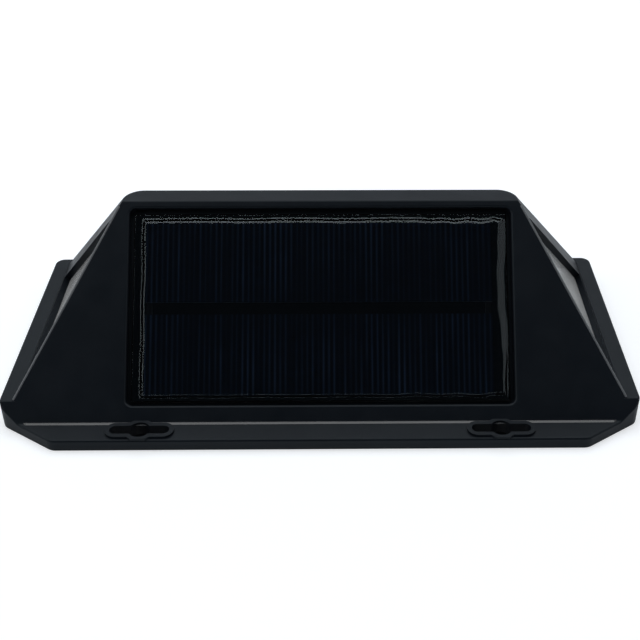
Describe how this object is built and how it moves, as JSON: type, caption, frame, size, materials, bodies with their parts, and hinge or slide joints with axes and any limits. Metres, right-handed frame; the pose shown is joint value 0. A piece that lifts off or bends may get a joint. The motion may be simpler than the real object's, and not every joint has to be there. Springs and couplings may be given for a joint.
{
  "type": "fence light",
  "caption": "Wedge-shaped solar fence light: panel set in its sloping roof, clear windows on three sides, keyhole flange, and a push button in the screwed back cover.",
  "frame": {"origin": "centre of the flat back, on the plane that meets the fence", "axes": "+Z out of the fence, +X along the light's width, -Y towards the keyhole edge, which is uppermost in use, +Y towards the lit end"},
  "size_m": [0.185, 0.09, 0.052],
  "materials": {
    "housing_black": "satin, fine moulded grain",
    "cover_black": "matt",
    "gasket_grey": "matt foam rubber",
    "screw_steel": "bright",
    "lens_clear": "clear, polished",
    "tray_white": "glossy white",
    "tape_white": "foam tape",
    "panel_backing": "dark glass-fibre sheet",
    "solar_silicon": "dark blue silicon with fine silver fingers",
    "ribbon_tin": "tinned",
    "resin_clear": "clear poured resin",
    "wire_red": "red insulation",
    "wire_black": "black insulation",
    "lamp_board_white": "white board",
    "led_white": "white package",
    "led_phosphor": "yellow phosphor",
    "board_green": "green solder mask",
    "chip_black": "moulded package",
    "ferrite_grey": "ferrite",
    "can_aluminium": "drawn can",
    "socket_cream": "moulded nylon",
    "battery_steel": "nickel plated",
    "battery_sleeve": "shrunk sleeve, plain",
    "holder_black": "moulded",
    "contact_steel": "plated spring steel",
    "switch_body": "moulded",
    "plunger_grey": "moulded",
    "button_rubber": "soft, matt"
  },
  "bodies": {
    "light": {"front_housing": "housing_black", "back_cover": "cover_black", "cover_gasket": "gasket_grey", "cover_screws": "screw_steel", "lens_left": "lens_clear", "lens_right": "lens_clear", "lens_far": "lens_clear", "reflector_tray": "tray_white", "panel_tape": "tape_white", "panel_board": "panel_backing", "solar_cells": "solar_silicon", "cell_ribbons": "ribbon_tin", "panel_resin": "resin_clear", "panel_lead_red": "wire_red", "panel_lead_black": "wire_black", "led_board": "lamp_board_white", "led_packages": "led_white", "led_phosphors": "led_phosphor", "lamp_lead_red": "wire_red", "lamp_lead_black": "wire_black", "main_board": "board_green", "board_screws": "screw_steel", "control_chip": "chip_black", "inductor": "ferrite_grey", "capacitor": "can_aluminium", "panel_socket": "socket_cream", "battery_socket": "socket_cream", "battery_cell": "battery_steel", "battery_wrap": "battery_sleeve", "battery_holder": "holder_black", "battery_contact_plus": "contact_steel", "battery_contact_minus": "contact_steel", "battery_lead_red": "wire_red", "battery_lead_black": "wire_black", "push_switch": "switch_body", "button_seal": "gasket_grey"},
    "button": {"power_button": "button_rubber", "switch_plunger": "plunger_grey"}
  },
  "joints": [
    {"name": "power_button_press", "type": "slide", "parent": "light", "child": "button", "axis": [0, 0, 1], "range_m": [0, 0.0008], "stiffness_N_per_m": 1200}
  ]
}
